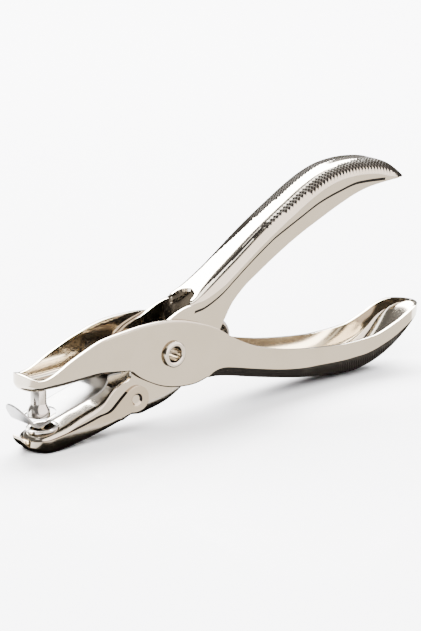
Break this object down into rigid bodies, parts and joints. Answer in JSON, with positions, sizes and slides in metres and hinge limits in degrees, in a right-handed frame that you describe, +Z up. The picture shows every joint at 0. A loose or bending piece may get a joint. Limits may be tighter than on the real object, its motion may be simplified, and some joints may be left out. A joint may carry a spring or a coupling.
{
  "type": "single hole punch",
  "caption": "Hand-held punch for one hole at a time: crossed sheet steel levers on a hollow rivet, with punch pin, die, leaf stripper, torsion spring and swing-down chip pan.",
  "frame": {"origin": "middle of the hollow rivet that the levers turn on", "axes": "+X along the length towards the handles, +Y across along the rivet, +Z up"},
  "size_m": [0.1472, 0.0158, 0.0648],
  "materials": {
    "lever_steel": "warm nickel plate, satin flanks",
    "rivet_steel": "bright nickel plate",
    "spring_steel": "drawn wire",
    "tool_steel": "ground and polished",
    "leaf_steel": "satin spring steel",
    "pan_steel": "warm nickel plate"
  },
  "bodies": {
    "lower_frame": {"outer_lever": "lever_steel", "pivot_rivet": "rivet_steel", "torsion_spring": "spring_steel", "punch_pin": "tool_steel", "stripper_rivets": "rivet_steel"},
    "upper_frame": {"inner_lever": "lever_steel", "die_bush": "tool_steel"},
    "leaf": {"stripper": "leaf_steel"},
    "pan": {"chip_pan": "pan_steel"}
  },
  "joints": [
    {"name": "pivot", "type": "hinge", "parent": "lower_frame", "child": "upper_frame", "pos_m": [0, 0, 0], "axis": [0, 1, 0], "range_deg": [0, 5], "stiffness_Nm_per_rad": 1, "springref_deg": -22.92, "deforming": ["torsion_spring"]},
    {"name": "stripper_flex", "type": "hinge", "parent": "lower_frame", "child": "leaf", "pos_m": [-0.0175, 0, -0.00285], "axis": [0, 1, 0], "range_deg": [0, 3]},
    {"name": "pan_hinge", "type": "hinge", "parent": "upper_frame", "child": "pan", "pos_m": [-0.0123, 0, -0.0109], "axis": [0, -1, 0], "range_deg": [0, 65]}
  ],
  "couplings": [
    {"joint": "stripper_flex", "follows": "pivot", "ratio": 0.6}
  ]
}
